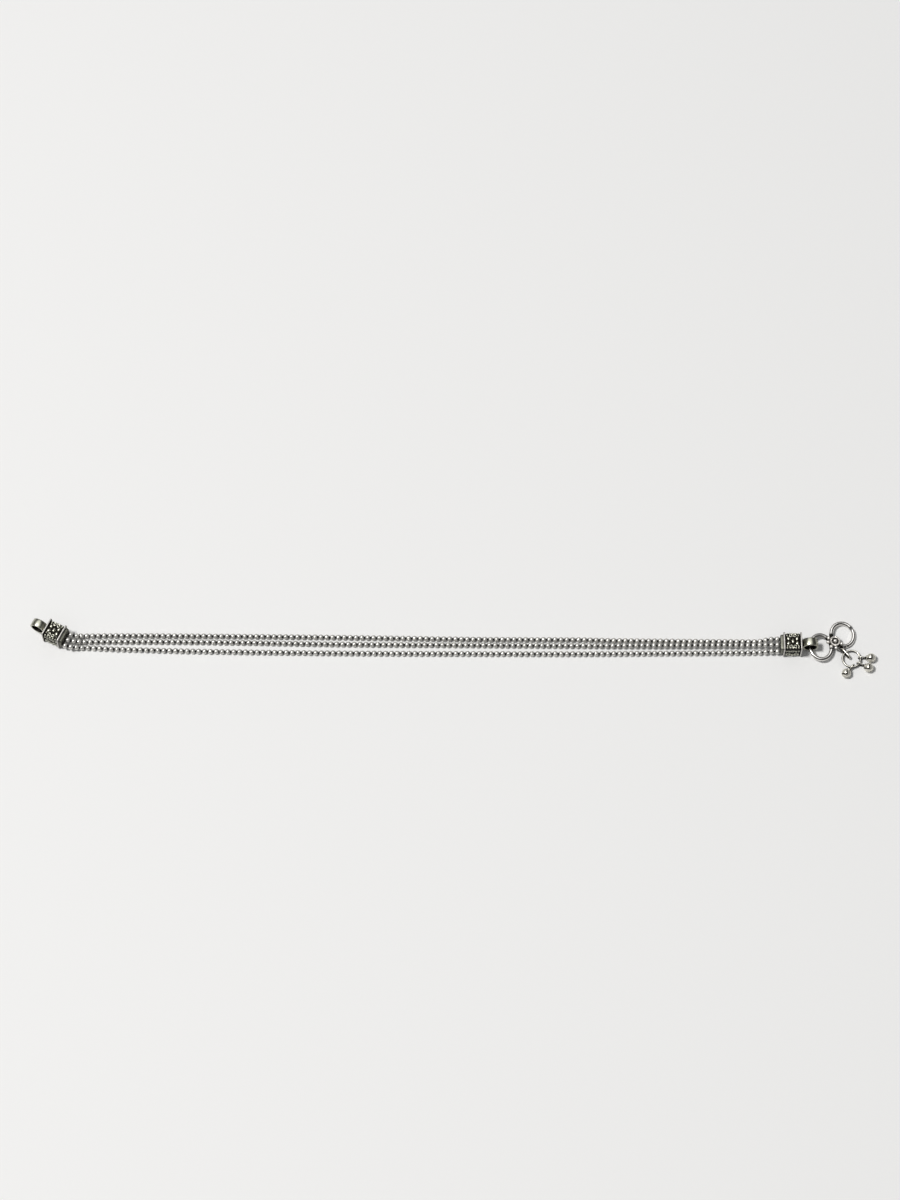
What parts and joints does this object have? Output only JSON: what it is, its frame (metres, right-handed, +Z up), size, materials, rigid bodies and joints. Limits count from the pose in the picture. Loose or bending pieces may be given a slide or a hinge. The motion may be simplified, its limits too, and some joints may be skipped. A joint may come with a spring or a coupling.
{
  "type": "layered anklet",
  "caption": "Silver anklet of three fine bead-chain strands between two square granulated end caps, lying open with its ring clasp and a drop of small round bells.",
  "frame": {"origin": "on the surface that the anklet lies on, under the middle of its whole box", "axes": "+X along the strands from the end with the free bail to the end with the clasp, +Y away from the viewer across the strands, +Z up from the surface"},
  "size_m": [0.27, 0.0196, 0.0063],
  "materials": {
    "cap_silver": "cast silver, polished on the raised work and blackened in the ground",
    "chain_silver": "polished silver beads",
    "clasp_silver": "polished silver wire",
    "drop_silver": "polished silver with darkened seams"
  },
  "bodies": {
    "root": {"end_cap_left": "cap_silver", "end_cap_right": "cap_silver", "strand_back": "chain_silver", "strand_middle": "chain_silver", "strand_front": "chain_silver", "clasp_hook": "clasp_silver", "drop_link": "drop_silver", "drop_ring": "drop_silver", "bell_1": "drop_silver", "bell_2": "drop_silver", "bell_3": "drop_silver"}
  },
  "joints": []
}
